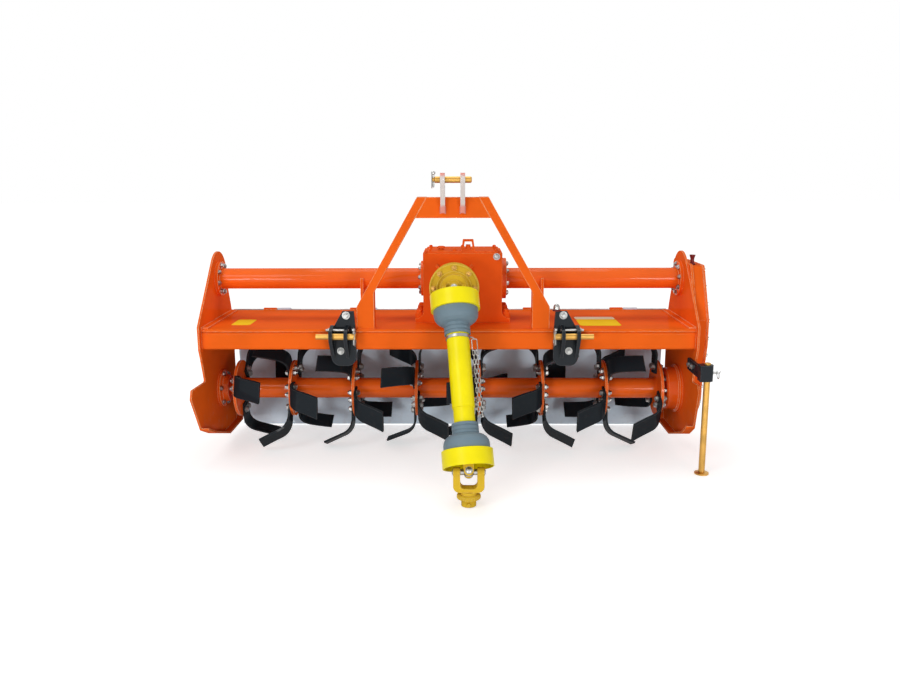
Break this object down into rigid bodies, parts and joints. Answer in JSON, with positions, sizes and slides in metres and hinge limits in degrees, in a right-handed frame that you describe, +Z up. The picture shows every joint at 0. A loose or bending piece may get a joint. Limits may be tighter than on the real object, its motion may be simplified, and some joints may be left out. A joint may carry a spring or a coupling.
{
  "type": "rotary tiller",
  "caption": "Tractor-mounted rotary tiller: bladed rotor under a deck between side plates, with hitch mast, gearbox, hinged tailboard, parking stand and guarded telescopic driveline.",
  "frame": {"origin": "centre of the overall box in plan, on the ground", "axes": "+X across the machine towards the gear case, +Y to the rear, away from the tractor, +Z up"},
  "size_m": [2.098, 1.0564, 1.191],
  "materials": {
    "orange_paint": "gloss",
    "orange_casting": "gloss",
    "dark_red_plug": "matte",
    "amber_paint": "gloss",
    "pale_steel": "satin",
    "zinc_gold": "satin",
    "black_paint": "gloss",
    "blade_black": "satin",
    "bright_steel": "satin",
    "tailboard_grey": "satin",
    "guard_yellow": "gloss",
    "guard_grey": "matte"
  },
  "bodies": {
    "frame": {"deck_plate": "orange_paint", "front_beam": "orange_paint", "left_side_plate": "orange_paint", "right_side_plate": "orange_paint", "gear_case": "orange_paint", "gear_case_plug": "dark_red_plug", "left_tube": "orange_paint", "right_tube": "orange_paint", "gearbox_housing": "orange_casting", "gearbox_breather": "orange_casting", "gearbox_filler": "orange_casting", "input_bearing_cap": "orange_casting", "clutch_disc": "amber_paint", "implement_yoke": "amber_paint", "mast_leg_left": "orange_paint", "mast_leg_right": "orange_paint", "mast_top_bar": "orange_paint", "top_link_lugs": "pale_steel", "top_link_pin": "zinc_gold", "hitch_bracket_left": "black_paint", "hitch_bracket_right": "black_paint", "hitch_pin_left": "zinc_gold", "hitch_pin_right": "zinc_gold", "gusset_left": "orange_paint", "gusset_right": "orange_paint", "bearing_housing_left": "orange_paint", "bearing_housing_right": "orange_paint", "hinge_rod": "bright_steel", "stand_bracket": "black_paint"},
    "rotor": {"rotor_tube": "orange_paint", "blades_left": "blade_black", "blades_right": "blade_black"},
    "stand": {"stand_leg": "zinc_gold"},
    "tailboard": {"tailboard": "tailboard_grey"},
    "upper_cross": {"upper_cross": "bright_steel"},
    "driveline_upper": {"upper_shaft_yoke": "amber_paint", "upper_guard_ring": "guard_yellow", "upper_guard_bell": "guard_grey", "guard_tube_outer": "guard_yellow", "safety_chain": "bright_steel"},
    "driveline_lower": {"lower_shaft_yoke": "amber_paint", "guard_tube_inner": "guard_yellow", "lower_guard_bell": "guard_grey", "lower_guard_ring": "guard_yellow"},
    "lower_cross": {"lower_cross": "bright_steel"},
    "tractor_yoke": {"tractor_yoke": "amber_paint"}
  },
  "joints": [
    {"name": "rotor_spin", "type": "hinge", "parent": "frame", "child": "rotor", "pos_m": [-0.043, 0.22307, 0.264], "axis": [1, 0, 0], "continuous": true},
    {"name": "stand_slide", "type": "slide", "parent": "frame", "child": "stand", "axis": [0, 0, 1], "range_m": [0, 0.28]},
    {"name": "tailboard_hinge", "type": "hinge", "parent": "frame", "child": "tailboard", "pos_m": [-0.019, 0.47807, 0.569], "axis": [1, 0, 0], "range_deg": [0, 75]},
    {"name": "driveline_lift", "type": "hinge", "parent": "frame", "child": "upper_cross", "pos_m": [-0.014, -0.11693, 0.74], "axis": [-1, 0, 0], "range_deg": [0, 66]},
    {"name": "driveline_swing", "type": "hinge", "parent": "upper_cross", "child": "driveline_upper", "pos_m": [-0.014, -0.11693, 0.74], "axis": [0, -0.8772, 0.4802], "range_deg": [-25, 25]},
    {"name": "driveline_slide", "type": "slide", "parent": "driveline_upper", "child": "driveline_lower", "axis": [0.0786, -0.4787, -0.8745], "range_m": [0, 0.2]},
    {"name": "lower_swing", "type": "hinge", "parent": "driveline_lower", "child": "lower_cross", "pos_m": [0.041, -0.45193, 0.128], "axis": [0, -0.8772, 0.4802], "range_deg": [-25, 25]},
    {"name": "yoke_tilt", "type": "hinge", "parent": "lower_cross", "child": "tractor_yoke", "pos_m": [0.041, -0.45193, 0.128], "axis": [-1, 0, 0], "range_deg": [-25, 60]}
  ]
}
